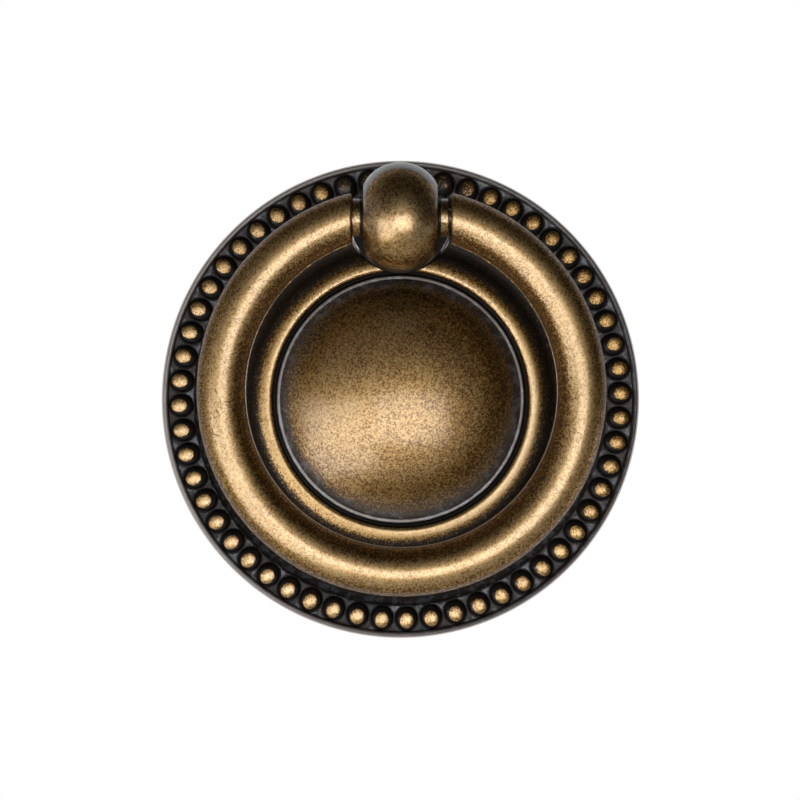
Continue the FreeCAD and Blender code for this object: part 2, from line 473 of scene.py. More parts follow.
def draw_outline(name, places):
    """A line of edges: a plane merged to one point, which is extruded from place to place."""
    deselect()
    bpy.ops.mesh.primitive_plane_add(size=MM)
    piece = bpy.context.object
    piece.name = name
    piece.data.name = name
    bpy.ops.object.mode_set(mode="EDIT")
    bpy.ops.mesh.select_all(action="SELECT")
    bpy.ops.mesh.merge(type="CENTER")
    bpy.ops.transform.translate(value=places[0])
    for start, end in zip(places, places[1:]):
        bpy.ops.mesh.extrude_vertices_move(TRANSFORM_OT_translate={"value": end - start})
    bpy.ops.object.mode_set(mode="OBJECT")
    return piece


def turn_outline(piece, centre, axis, steps):
    """Spins an outline once round an axis, closes its seam and its poles, and faces it outwards."""
    only(piece)
    bpy.ops.object.mode_set(mode="EDIT")
    bpy.ops.mesh.select_all(action="SELECT")
    bpy.ops.mesh.spin(steps=steps, angle=math.tau, center=centre, axis=axis, use_auto_merge=True)
    bpy.ops.mesh.select_all(action="SELECT")
    bpy.ops.mesh.remove_doubles(threshold=merge_reach)
    bpy.ops.mesh.normals_make_consistent(inside=False)
    bpy.ops.object.mode_set(mode="OBJECT")


def smooth(piece, sharp_degrees):
    only(piece)
    bpy.ops.object.shade_smooth_by_angle(angle=math.radians(sharp_degrees))


def combine(piece, other, operation):
    """Joins, or cuts, a piece with another, which is then removed."""
    only(piece)
    modifier = piece.modifiers.new(operation.lower(), "BOOLEAN")
    modifier.operation = operation
    modifier.solver = "EXACT"
    modifier.object = other
    bpy.ops.object.modifier_apply(modifier=modifier.name)
    bpy.data.objects.remove(other)


def on_plate(points):
    """Outline points (distance from the plate's axis, height above its back) as places above the axis."""
    return [Vector((0, -height, distance)) for distance, height in points]


def on_stem(points):
    """Outline points (distance from the knuckle's own axis, height above the plate's back) as places."""
    return [Vector((0, -height, pivot.z + distance)) for distance, height in points]


def plate_front_points():
    """The front of the backplate's section, from the foot of its rim to its crown."""
    rim_inner_round = rim_width - rim_crown_width
    rim_crown = [
        (
            plate_radius - rim_crown_width + rim_crown_width * math.cos(math.radians(turn)),
            rim_height - rim_crown_rise + rim_crown_rise * math.sin(math.radians(turn)),
        )
        for turn in range(0, 90, 6)
    ]
    turn = 2 * math.atan2(moulding_rise, moulding_width)
    hollow_radius = moulding_width / math.sin(turn) - moulding_nose_radius
    turn_degrees = math.degrees(turn)
    groove_half = groove_width / 2
    groove_height = floor_height + groove_floor_rise + groove_half
    inner_round_height = crest_height - moulding_inner_round
    rim_inner_foot = (band_outer + rim_inner_round, rim_height - rim_inner_round)
    band_foot = (band_outer - band_foot_round, band_height + band_foot_round)
    band_start = (band_outer - band_foot_round, band_height)
    band_end = (band_inner + band_edge_round, band_height)
    band_edge = (band_inner + band_edge_round, band_height - band_edge_round)
    hollow_centre = (channel_inner, floor_height + hollow_radius)
    nose_centre = (crest_radius, crest_height - moulding_nose_radius)
    lip_centre = (dome_radius - lip_round, lip_height - lip_round)
    dome_foot = dome_radius - lip_width - lip_step
    edge_turn = math.degrees(math.acos(dome_foot / dome_sphere))
    return [
        *straight_points((plate_radius, 0), (plate_radius, rim_height - rim_crown_rise), 4),
        *rim_crown,
        *arc_points(rim_inner_foot, rim_inner_round, 90, 180, 7),
        *arc_points(band_foot, band_foot_round, 0, -90, 3),
        *straight_points(band_start, band_end, 6),
        *arc_points(band_edge, band_edge_round, 90, 180, 5),
        *arc_points((channel_outer, floor_height + cove_radius), cove_radius, 0, -90, 10)[1:],
        *straight_points((channel_outer, floor_height), (channel_inner, floor_height), 6),
        *arc_points(hollow_centre, hollow_radius, 270, 270 - turn_degrees, 14),
        *arc_points(nose_centre, moulding_nose_radius, 90 - turn_degrees, 90, 14)[1:],
        *arc_points((crest_radius, inner_round_height), moulding_inner_round, 90, 180, 8)[1:],
        *arc_points((groove_outer - groove_half, groove_height), groove_half, 0, -180, 8),
        *arc_points(lip_centre, lip_round, 0, 90, 4),
        (dome_radius - lip_width, lip_height),
        *arc_points((0, dome_centre), dome_sphere, edge_turn, 90, 44),
    ]


def plate_back_points():
    """The back of the section, from inside the dome out to the foot of the rim."""
    inner_sphere = dome_sphere - plate_wall
    recess_radius = dome_radius - plate_wall
    corner_degrees = math.degrees(math.acos(recess_radius / inner_sphere))
    bead_recess_outer = plate_radius - back_rim_width
    bead_recess_inner = band_inner + plate_wall / 2
    roof = band_height - plate_wall
    corner = back_corner_round / 2
    inner_corner = (bead_recess_inner + back_recess_draft + corner, roof - corner)
    outer_corner = (bead_recess_outer - back_recess_draft - corner, roof - corner)
    return [
        *arc_points((0, dome_centre), inner_sphere, 90, corner_degrees, 24),
        (recess_radius + back_recess_draft, 0),
        *straight_points((recess_radius + back_recess_draft, 0), (bead_recess_inner, 0), 6),
        (bead_recess_inner, 0),
        *arc_points(inner_corner, corner, 180, 90, 4),
        *arc_points(outer_corner, corner, 90, 0, 4),
        (bead_recess_outer, 0),
        (plate_radius - back_edge_bevel, 0),
        (plate_radius, back_edge_bevel),
    ]


def add_bead():
    """One bead at the top of the plate: round, worn a little flat on top, with its foot in the band."""
    half = bead_width / 2
    power = 2 / bead_fullness
    points = [(0, -bead_sink), (half, -bead_sink)]
    for step in range(bead_steps + 1):
        turn = math.radians(90) * step / bead_steps
        points.append((half * math.cos(turn) ** power, half * math.sin(turn) ** power))
    points[-1] = (0, half)
    middle = band_height - bead_sink
    places = [Vector((0, -(middle + height), bead_circle + distance)) for distance, height in points]
    bead = draw_outline("bead", places)
    centre = (0, 0, bead_circle)
    turn_outline(bead, centre, (0, 1, 0), bead_sides)
    bpy.ops.object.mode_set(mode="EDIT")
    bpy.ops.mesh.select_all(action="SELECT")
    bpy.ops.transform.resize(value=(1, 1, bead_length / bead_width), center_override=centre)
    bpy.ops.object.mode_set(mode="OBJECT")
    return bead


def add_beads():
    """All the beads as one mesh, each a copy turned about the plate's axis."""
    first = add_bead()
    copies = []
    for number in range(bead_count):
        copy = first.copy()
        copy.data = first.data.copy()
        copy.data.transform(Matrix.Rotation(first_bead + number * bead_pitch, 4, "Y"))
        bpy.context.scene.collection.objects.link(copy)
        copies.append(copy)
    bpy.data.objects.remove(first)
    deselect()
    for copy in copies:
        copy.select_set(True)
    bpy.context.view_layer.objects.active = copies[0]
    bpy.ops.object.join()
    return copies[0]


def add_seat():
    """The round pad that the knuckle stands on, across the channel."""
    edge_centre = (seat_radius - seat_edge_round, seat_height - seat_edge_round)
    points = [
        (0, floor_height / 2),
        (seat_radius, floor_height / 2),
        *arc_points(edge_centre, seat_edge_round, 0, 90, 6),
        (stem_radius, seat_height),
        (0, seat_height),
    ]
    seat = draw_outline("seat", on_stem(points))
    turn_outline(seat, (0, 0, pivot.z), (0, 1, 0), 128)
    return seat


def add_plate():
    """The backplate: a turned section, the knuckle's seat, the beads and the hole for the tail."""
    points = plate_back_points() + plate_front_points()
    plate = draw_outline("plate_casting", on_plate(points))
    turn_outline(plate, (0, 0, 0), (0, 1, 0), bead_count * 4)
    combine(plate, add_seat(), "UNION")
    combine(plate, add_beads(), "UNION")
    hole_radius = tail_radius + tail_clearance
    flare = peened_depth + tail_recess
    beyond = 1 * MM
    hole = [
        (0, -beyond),
        (hole_radius + peened_spread + beyond * peened_spread / flare, -beyond),
        (hole_radius, flare),
        (hole_radius, seat_height + beyond),
        (0, seat_height + beyond),
    ]
    cutter = draw_outline("tail_hole", on_stem(hole))
    turn_outline(cutter, (0, 0, pivot.z), (0, 1, 0), 64)
    combine(plate, cutter, "DIFFERENCE")
    smooth(plate, plate_sharp_edge)
    return plate


def about_pin(points):
    """Outline points (distance along the pin, distance from it) as places above the pin."""
    return [pivot + Vector((along, 0, radius)) for along, radius in points]


def ball_points():
    """The ball, its cheeks and its bosses, as a closed outline round the pin's hole."""
    cheek_degrees = math.degrees(math.acos(ball_half / ball_arc_radius))
    near = cheek_degrees + cheek_blend_degrees
    cheek_rim = cheek_radius - cheek_step
    boss_foot = boss_radius + boss_foot_round
    half = [
        *arc_points((0, ball_arc_centre), ball_arc_radius, 90, near, 26),
        *arc_points((ball_half - cheek_round, cheek_rim), cheek_round, 34, 0, 4),
        *straight_points((ball_half, cheek_rim), (ball_half, boss_foot), 3),
        *arc_points((ball_half + boss_foot_round, boss_foot), boss_foot_round, 180, 270, 4),
        *arc_points((boss_end - boss_round, boss_radius - boss_round), boss_round, 90, 0, 4),
        (boss_end, pin_radius),
    ]
    mirrored = [(-along, radius) for along, radius in reversed(half)]
    return mirrored[:-1] + half


def stem_points():
    """Foot, stem and tail about the knuckle's own axis, with the tapped hole up its middle."""
    spread = peened_spread * peened_depth / (tail_recess + peened_depth)
    foot_top = seat_height + foot_thickness
    flare = tail_recess + peened_depth
    top = -pivot.y - pin_radius - web_over_stem
    outside = [
        (tail_radius + spread, tail_recess),
        (tail_radius, flare),
        (tail_radius, seat_height),
        (foot_radius, seat_height),
        *arc_points((foot_radius - foot_round, foot_top - foot_round), foot_round, 0, 90, 5),
        (stem_radius, foot_top),
        (stem_radius, top),
        (0, top),
    ]
    threads = []
    height = tail_recess + screw_run_in
    while height + screw_pitch < screw_hole_depth:
        threads += [
            (screw_thread_radius, height),
            *[(screw_hole_radius, height + screw_pitch * share) for share in screw_root],
        ]
        height += screw_pitch
    mouth = (screw_mouth_radius, tail_recess)
    tip = (0, screw_hole_depth + screw_hole_tip)
    inside = [mouth, *threads, (screw_hole_radius, screw_hole_depth), tip]
    return list(reversed(inside)) + outside


def add_knuckle():
    """The knuckle: a ball turned about the pin, joined to a stem turned about its own axis."""
    knuckle = draw_outline("knuckle_casting", about_pin(ball_points() + ball_points()[:1]))
    turn_outline(knuckle, pivot, (1, 0, 0), 144)
    stem = draw_outline("stem", on_stem(stem_points()))
    turn_outline(stem, (0, 0, pivot.z), (0, 1, 0), 96)
    combine(knuckle, stem, "UNION")
    smooth(knuckle, knuckle_sharp_edge)
    return knuckle


def choose(piece, test):
    """Selects the vertices of a piece whose place passes a test, and what lies between them."""
    for edge in piece.data.edges:
        edge.select = False
    for polygon in piece.data.polygons:
        polygon.select = False
    for vertex in piece.data.vertices:
        vertex.select = test(vertex.co)


def edit_chosen(piece, test):
    """Goes into edit mode with the vertices selected that pass a test."""
    only(piece)
    bpy.context.tool_settings.mesh_select_mode = (True, False, False)
    choose(piece, test)
    bpy.ops.object.mode_set(mode="EDIT")


def cut_bar(ring, side):
    """Cuts the bar upright where its end's rounding starts, and takes away what lies beyond."""
    cut = ring_middle_x + side * (ring_end + ring_end_round)
    near_top = ring_centre.z + ring_radius / 2
    edit_chosen(ring, lambda place: place.z > near_top)
    bpy.ops.mesh.bisect(plane_co=(cut, 0, 0), plane_no=(1, 0, 0), threshold=bisect_reach)
    bpy.ops.object.mode_set(mode="OBJECT")
    return cut


def round_bar_end(ring, side, cut):
    """Rounds one cut end of the bar, closes it flat down to the pin's hole, and sinks that hole."""
    edit_chosen(ring, lambda place: abs(place.x - cut) < 0.001 * MM and place.z > ring_centre.z)
    bpy.ops.object.mode_set(mode="OBJECT")
    rim = [vertex.co.copy() for vertex in ring.data.vertices if vertex.select]
    low, high = min(place.z for place in rim), max(place.z for place in rim)
    half_height = (high - low) / 2
    middle = Vector((cut, pivot.y, (high + low) / 2))
    bpy.ops.object.mode_set(mode="EDIT")
    steps = 6
    out_before = shrunk_before = 0.0
    for step in range(1, steps + 1):
        turn = math.radians(90) * step / steps
        out = math.sin(turn) * ring_end_round
        shrunk = (1 - math.cos(turn)) * ring_end_round
        bpy.ops.mesh.extrude_region_move(
            TRANSFORM_OT_translate={"value": (-side * (out - out_before), 0, 0)}
        )
        bpy.ops.transform.resize(
            value=(
                1,
                (bar_radius - shrunk) / (bar_radius - shrunk_before),
                (half_height - shrunk) / (half_height - shrunk_before),
            ),
            center_override=middle,
        )
        out_before, shrunk_before = out, shrunk
    bpy.ops.mesh.extrude_region_move(
        TRANSFORM_OT_translate={"value": (0, 0, pivot.z - middle.z)}
    )
    bpy.ops.transform.resize(
        value=(
            1,
            ring_bore_radius / (bar_radius - shrunk),
            ring_bore_radius / (half_height - shrunk),
        ),
        center_override=(cut, pivot.y, pivot.z),
    )
    bpy.ops.mesh.extrude_region_move(
        TRANSFORM_OT_translate={"value": (side * ring_bore_depth, 0, 0)}
    )
    bpy.ops.mesh.edge_face_add()
    bpy.ops.object.mode_set(mode="OBJECT")


def raise_seam(ring):
    """Raises the thin seam that casting leaves round the inside of the bar."""
    inside = ring_radius - bar_radius

    def by_seam(place):
        return math.hypot(place.x - ring_centre.x, place.z - ring_centre.z) < inside + 0.02 * MM

    for side in (-1, 1):
        edit_chosen(ring, by_seam)
        cut = (0, ring_centre.y + side * seam_half_width, 0)
        bpy.ops.mesh.bisect(plane_co=cut, plane_no=(0, 1, 0), threshold=bisect_reach)
        bpy.ops.object.mode_set(mode="OBJECT")
    edit_chosen(ring, lambda place: by_seam(place) and abs(place.y - ring_centre.y) < seam_half_width / 2)
    share = 1 - seam_height / inside
    bpy.ops.transform.resize(value=(share, 1, share), center_override=ring_centre)
    bpy.ops.object.mode_set(mode="OBJECT")


def add_ring():
    """The ring: a torus opened at the top by two upright cuts, with rounded ends."""
    deselect()
    bpy.ops.mesh.primitive_torus_add(
        location=ring_centre,
        rotation=(math.radians(90), 0, 0),
        major_segments=ring_segments,
        minor_segments=bar_segments,
        major_radius=ring_radius,
        minor_radius=bar_radius,
    )
    ring = bpy.context.object
    ring.name = "swing_ring"
    ring.data.name = "swing_ring"
    bpy.ops.object.transform_apply(location=True, rotation=True, scale=True)
    raise_seam(ring)
    cuts = {side: cut_bar(ring, side) for side in (-1, 1)}
    gap = ring_end + ring_end_round - 0.001 * MM
    edit_chosen(
        ring, lambda place: abs(place.x - ring_middle_x) < gap and place.z > ring_centre.z
    )
    bpy.ops.mesh.delete(type="VERT")
    bpy.ops.object.mode_set(mode="OBJECT")
    for side, cut in cuts.items():
        round_bar_end(ring, side, cut)
    only(ring)
    bpy.ops.object.mode_set(mode="EDIT")
    bpy.ops.mesh.select_all(action="SELECT")
    bpy.ops.mesh.remove_doubles(threshold=merge_reach / 2)
    bpy.ops.mesh.normals_make_consistent(inside=False)
    bpy.ops.object.mode_set(mode="OBJECT")
    smooth(ring, ring_sharp_edge)
    return ring


# Finishes: a brown-black patina, rubbed through to gold on the high parts

patina_brown = (0.034, 0.019, 0.010, 1)
patina_grey = (0.026, 0.021, 0.019, 1)
slate_grey = (0.190, 0.200, 0.230, 1)
soot_black = (0.005, 0.004, 0.0035, 1)
bare_and_sheen_grey = (0.52, 0.455, 0.425, 1)
brown_metal = (0.125, 0.062, 0.016, 1)
brass_deep = (0.375, 0.174, 0.024, 1)
brass_bright = (0.72, 0.475, 0.190, 1)
steel_dark = (0.09, 0.085, 0.08, 1)
steel_light = (0.17, 0.16, 0.15, 1)

# How large the features of each noise are
fine_flakes = 0.23 * MM
coarse_flakes = 0.31 * MM
dust_grain = 0.13 * MM
lump_grain = 0.9 * MM
dent_grain = 1.7 * MM
cloud_grain = 3.4 * MM
pit_grain = 0.6 * MM
steel_grain = 0.5 * MM

# Between which levels each noise is sharpened, and what share of the grain it has
flake_edge = (0.37, 0.63)
flake_share = 0.62
dust_edge = (0.34, 0.66)
dust_share = 0.38
cloud_edge = (0.35, 0.65)
lump_edge = (0.48, 0.62)
pit_edge = (0.73, 0.76)
pit_soot = 0.8
least_slate = 0.06

# Rubbing: how much clouds, wear and grain count in it, where it starts and how hard its edges are
cloud_in_wear = 0.7
wear_in_rubbing = 2.4
grain_in_rubbing = 2.2
rubbing_start = 1.62
rubbing_contrast = 1.4
wear_for_rubbing = 0.12
wear_for_brown = (0.05, 0.35)

# Gold: how much grain, clouds and wear brighten it
grain_in_gold = 1.5
gold_start = 0.35
cloud_in_gold = 0.8
wear_in_gold = 1.5
middle_wear = 0.6

# Heights of the surface, in units of bump_unit
bump_unit = 0.01 * MM
flake_height = 0.15
dent_height = 1.6
lump_height = 24.0
grain_height = 2.0
pit_depth = 1.5

# Shine
patina_roughness = 0.5
rubbed_roughness = 0.42
rubbed_roughness_of_knuckle = 0.35
slate_smoothing = 0.08
slate_shine = 0.6
least_metallic = 0.05
coat_roughness = 0.21
coat_ior = 2.0
specular_level = 0.15
steel_roughness = 0.36
steel_roughness_spread = 0.18


def antique_brass(name, zones_of, gold_roughness, flake_grain):
    """Antique brass. zones_of tells, from the object's coordinates, how far each place is rubbed to
    gold, how far it is rubbed to bare grey metal, a grey that also stands for painted highlights and
    painted reflection, and how much lacquer, soot and slate-grey patina it has. Its gold and its soot
    also carry painted shade."""
    material = bpy.data.materials.new(name)
    metal = Finish(material)
    vector, x, y, z = metal.places()
    wear, bare_and_sheen, lacquer, soot, slate = zones_of(metal, x, y, z)

    flakes = metal.noise(vector, flake_grain, detail=2.0, roughness=0.6, distortion=0.6, seed=1.0)
    dust = metal.noise(vector, dust_grain, detail=1.0, roughness=0.6, seed=4.0)
    lumps = metal.noise(vector, lump_grain, detail=3.0, seed=5.0)
    dents = metal.noise(vector, dent_grain, detail=1, seed=2.0)
    cloud = metal.noise(vector, cloud_grain, detail=3, seed=7.0)
    pits = metal.noise(vector, pit_grain, detail=2, roughness=0.6, seed=11.0).rising(*pit_edge)

    grain = flakes.rising(*flake_edge) * flake_share + dust.rising(*dust_edge) * dust_share
    level = wear + (cloud - 0.5) * cloud_in_wear * wear
    rubbed = level * wear_in_rubbing + grain * grain_in_rubbing - rubbing_start
    rubbed = (rubbed * rubbing_contrast).limited() * wear.rising(0.0, wear_for_rubbing)
    browned = wear.rising(*wear_for_brown)
    slate_patches = slate * (least_slate + (1 - least_slate) * lumps.rising(*lump_edge))

    patina = metal.blend(cloud.rising(*cloud_edge), patina_brown, patina_grey)
    patina = metal.blend(slate_patches, patina, slate_grey)
    patina = metal.blend(soot, patina, soot_black)
    # Bare grey: partly real bare metal, partly painted highlights and painted reflection
    patina = metal.blend(bare_and_sheen, patina, bare_and_sheen_grey)
    patina = metal.blend(browned, patina, brown_metal)
    brightness = grain * grain_in_gold - gold_start + (cloud - 0.5) * cloud_in_gold
    brightness = (brightness + (wear - middle_wear) * wear_in_gold).limited()
    gold = metal.blend(brightness, brass_deep, brass_bright)
    colour = metal.blend(rubbed, patina, gold)
    colour = metal.blend(pits * pit_soot, colour, soot_black)

    bright = rubbed.larger(bare_and_sheen).larger(browned).larger(slate_patches * slate_shine)
    height = flakes * flake_height + dents * dent_height - pits * pit_depth
    height = height + lumps * slate * lump_height + grain * slate * grain_height
    bump = metal.node(
        "ShaderNodeBump", inputs={"Strength": 1.0, "Distance": bump_unit, "Height": height}
    )
    roughness = patina_roughness + bright * (gold_roughness - patina_roughness)
    shader = metal.node(
        "ShaderNodeBsdfPrincipled",
        inputs={
            "Base Color": colour,
            "Metallic": (bright * (1 - least_metallic) + least_metallic) * (1 - pits),
            "Roughness": roughness - slate * slate_smoothing,
            "Coat Weight": lacquer,
            "Coat Roughness": coat_roughness,
            "Coat IOR": coat_ior,
            "Specular IOR Level": specular_level,
            "Normal": bump,
        },
    )
    metal.finish(shader)
    return material


def seen_way(clockwise_from_top):
    """A direction across the front, as its x and z."""
    turn = math.radians(clockwise_from_top)
    return (math.sin(turn), math.cos(turn))


# What each place of the backplate is like, by its distance from the plate's axis: rubbed to gold,
wear_by_distance = [
    (0, 0.56),
    (5.0 * MM, 0.56),
    (9.0 * MM, 0.54),
    (11.4 * MM, 0.48),
    (12.3 * MM, 0.30),
    (12.9 * MM, 0.09),
    (13.4 * MM, 0.02),
    (groove_outer - 0.02 * MM, 0.0),
    (groove_outer + 0.05 * MM, 0.55),
    (crest_radius - 0.1 * MM, 1.0),
    (crest_radius + 0.60 * MM, 0.98),
    (crest_radius + 0.90 * MM, 0.62),
    (crest_radius + 1.15 * MM, 0.12),
    (crest_radius + 1.7 * MM, 0.045),
    (channel_outer - 0.5 * MM, 0.045),
    (channel_outer + 0.3 * MM, 0.0),
    (plate_radius, 0.0),
]

# lacquered,
lacquer_by_distance = [
    (0, 0.9),
    (13.0 * MM, 0.9),
    (dome_radius - lip_width, 0.6),
    (dome_radius - 0.04 * MM, 0.6),
    (dome_radius, 0.0),
    (groove_outer, 0.0),
    (groove_outer + 0.1 * MM, 0.9),
    (crest_radius + 0.6 * MM, 0.9),
    (crest_radius + 1.1 * MM, 0.4),
    (crest_radius + 1.6 * MM, 0.08),
    (channel_outer, 0.08),
    (band_inner - 0.4 * MM, 0.12),
    (band_inner, 0.12),
    (band_outer + 0.2 * MM, 0.12),
    (band_outer + 0.4 * MM, 0.5),
    (plate_radius, 0.5),
]

# black with soot,
soot_by_distance = [
    (0, 0.0),
    (dome_radius - 0.04 * MM, 0.0),
    (dome_radius, 1.0),
    (groove_outer, 1.0),
    (groove_outer + 0.1 * MM, 0.0),
    (crest_radius + 1.1 * MM, 0.2),
    (crest_radius + 1.6 * MM, 0.6),
    (channel_outer, 0.5),
    (channel_outer + 0.4 * MM, 0.15),
    (band_inner + 0.3 * MM, 0.1),
    (band_outer - 0.1 * MM, 0.1),
    (band_outer + 0.1 * MM, 0.6),
    (band_outer + 0.3 * MM, 0.3),
    (band_outer + 0.42 * MM, 0.0),
    (plate_radius, 0.0),
]

# slate-grey,
slate_by_distance = [
    (0, 0.0),
    (12.2 * MM, 0.05),
    (12.9 * MM, 0.35),
    (13.4 * MM, 0.45),
    (dome_radius - lip_width, 0.6),
    (dome_radius, 0.8),
    (groove_outer, 0.0),
    (channel_outer, 0.0),
    (channel_outer + 0.3 * MM, 0.5),
    (band_inner - 0.4 * MM, 0.9),
    (band_inner + 0.2 * MM, 0.9),
    (band_inner + 0.5 * MM, 0.7),
    (band_outer, 0.7),
    (band_outer + 0.3 * MM, 0.3),
    (plate_radius, 0.0),
]

# and rubbed to bare grey metal, a grey that on the lip and the rim is partly a painted highlight and painted
# reflection
bare_and_sheen_by_distance = [
    (0, 0.0),
    (dome_radius - lip_width - 0.04 * MM, 0.0),
    (dome_radius - lip_width + 0.06 * MM, 0.32),
    (dome_radius - 0.10 * MM, 0.32),
    (dome_radius - 0.02 * MM, 0.0),
    (band_outer + 0.05 * MM, 0.0),
    (band_outer + 0.18 * MM, 0.4),
    (band_outer + 0.44 * MM, 0.75),
    (band_outer + 0.56 * MM, 0.9),
    (plate_radius, 0.9),
]

# The lamp's side at the lower left, towards which the bead tops are painted lighter as painted light,
# and the side towards which the rim's inner slope is painted paler as a painted reflection
lit_way = seen_way(230)
rim_sheen_way = seen_way(285)
# Painted reflection on the rim's inner slope: its share of bare grey and how much that changes round the rim
rim_wear = 0.45
rim_painted_sheen_spread = 0.45

# The beads' worn tops, in half-lengths of a bead: how far out they lie, how narrow they are, where
# they fade and end, and their wear; then how much less gold they show near the top, as painted shade,
# and away from the lamp at the lower left, as painted light, and how much less lacquered they are there
cap_outward = 0.16
cap_narrowing = 1.12
cap_fade = (0.06, 0.50)
cap_edge = (0.58, 0.67)
cap_wear = 0.92
cap_wear_lost = 0.24
# Painted shade: how near the top the beads lose their gold, and how much
painted_shade_near_top_edge = (0.925, 0.965)
painted_shade_near_top = 0.86
cap_height = (band_height + 0.2 * MM, band_height + 0.4 * MM)
# Painted light: how much more gold the bead tops show towards the lamp at the lower left
cap_painted_light_round = (0.84, 0.14)
cap_lacquer_edge = (0.7, 0.9)
cap_lacquer_round = (0.62, 0.38)
crease_edge = (1.03, 1.13)
crease_soot_and_shade = 0.86
crease_dulling = 0.6

# Painted shade on the gold: how much less gold the dome shows to the right, the moulding on its lit lower
# left and the moulding at its top; and how the lacquer changes round the dome and the moulding
dome_painted_shade_to_right = 0.30
moulding_painted_shade_when_lit = 0.10
moulding_painted_shade_at_top = 0.3
dome_lacquer_unlit = 0.3
moulding_lacquer_lit = 0.5
seat_dulling = 0.95
# A painted highlight: pale grey and full lacquer on two corners of the seat's edge beside the ball
painted_glint_grey = 0.8
back_lacquer = 0.1


def seen_from_front(from_axis, height):
    """1 on what the front shows and on the rim's side, 0 on the plate's back and in its hollows."""
    from_centre = (from_axis * from_axis + (height - dome_centre) ** 2).root()
    outside = height.rising(0.87 * plate_wall, 0.97 * plate_wall)
    outside = outside * from_centre.rising(dome_sphere - 0.8 * plate_wall, dome_sphere - 0.5 * plate_wall)
    on_side = from_axis.rising(plate_radius - 0.2 * MM, plate_radius - 0.1 * MM)
    return outside.larger(on_side * height.rising(0.1 * MM, 0.2 * MM))


def from_nearest_bead(metal, x, z, from_axis):
    """How far a place lies from the middle of the nearest bead, along the band and outward, with
    half a bead as 1."""
    angle = metal.node("ShaderNodeMath", {"operation": "ARCTAN2"}, {0: x, 1: z})
    pitches = (angle - first_bead) / bead_pitch + 0.5
    within = metal.node("ShaderNodeMath", {"operation": "FLOORED_MODULO"}, {0: pitches, 1: 1.0}) - 0.5
    across = within * (bead_pitch * bead_circle / (bead_width / 2))
    outward = (from_axis - bead_circle) / (bead_length / 2)
    return across, outward


def seat_and_painted_glint(x, upward, from_axis):
    """1 on the knuckle's seat, and 1 on the two corners of its edge beside the ball, where a painted
    highlight goes.
    """
    from_stem = (x * x + upward * upward).root()
    on_seat = from_stem.falling(seat_radius + 0.04 * MM, seat_radius + 0.12 * MM)
    on_seat = on_seat * from_axis.falling(band_inner - 0.1 * MM, band_inner)
    painted_glint = from_stem.rising(seat_radius - seat_edge_round, seat_radius - seat_edge_round / 2) * on_seat
    painted_glint = painted_glint * abs(x).rising(0.76 * seat_radius, 0.82 * seat_radius)
    painted_glint = painted_glint * abs(x).falling(0.90 * seat_radius, 0.95 * seat_radius)
    return on_seat, painted_glint * upward.falling(-1.5 * MM, -1.0 * MM)


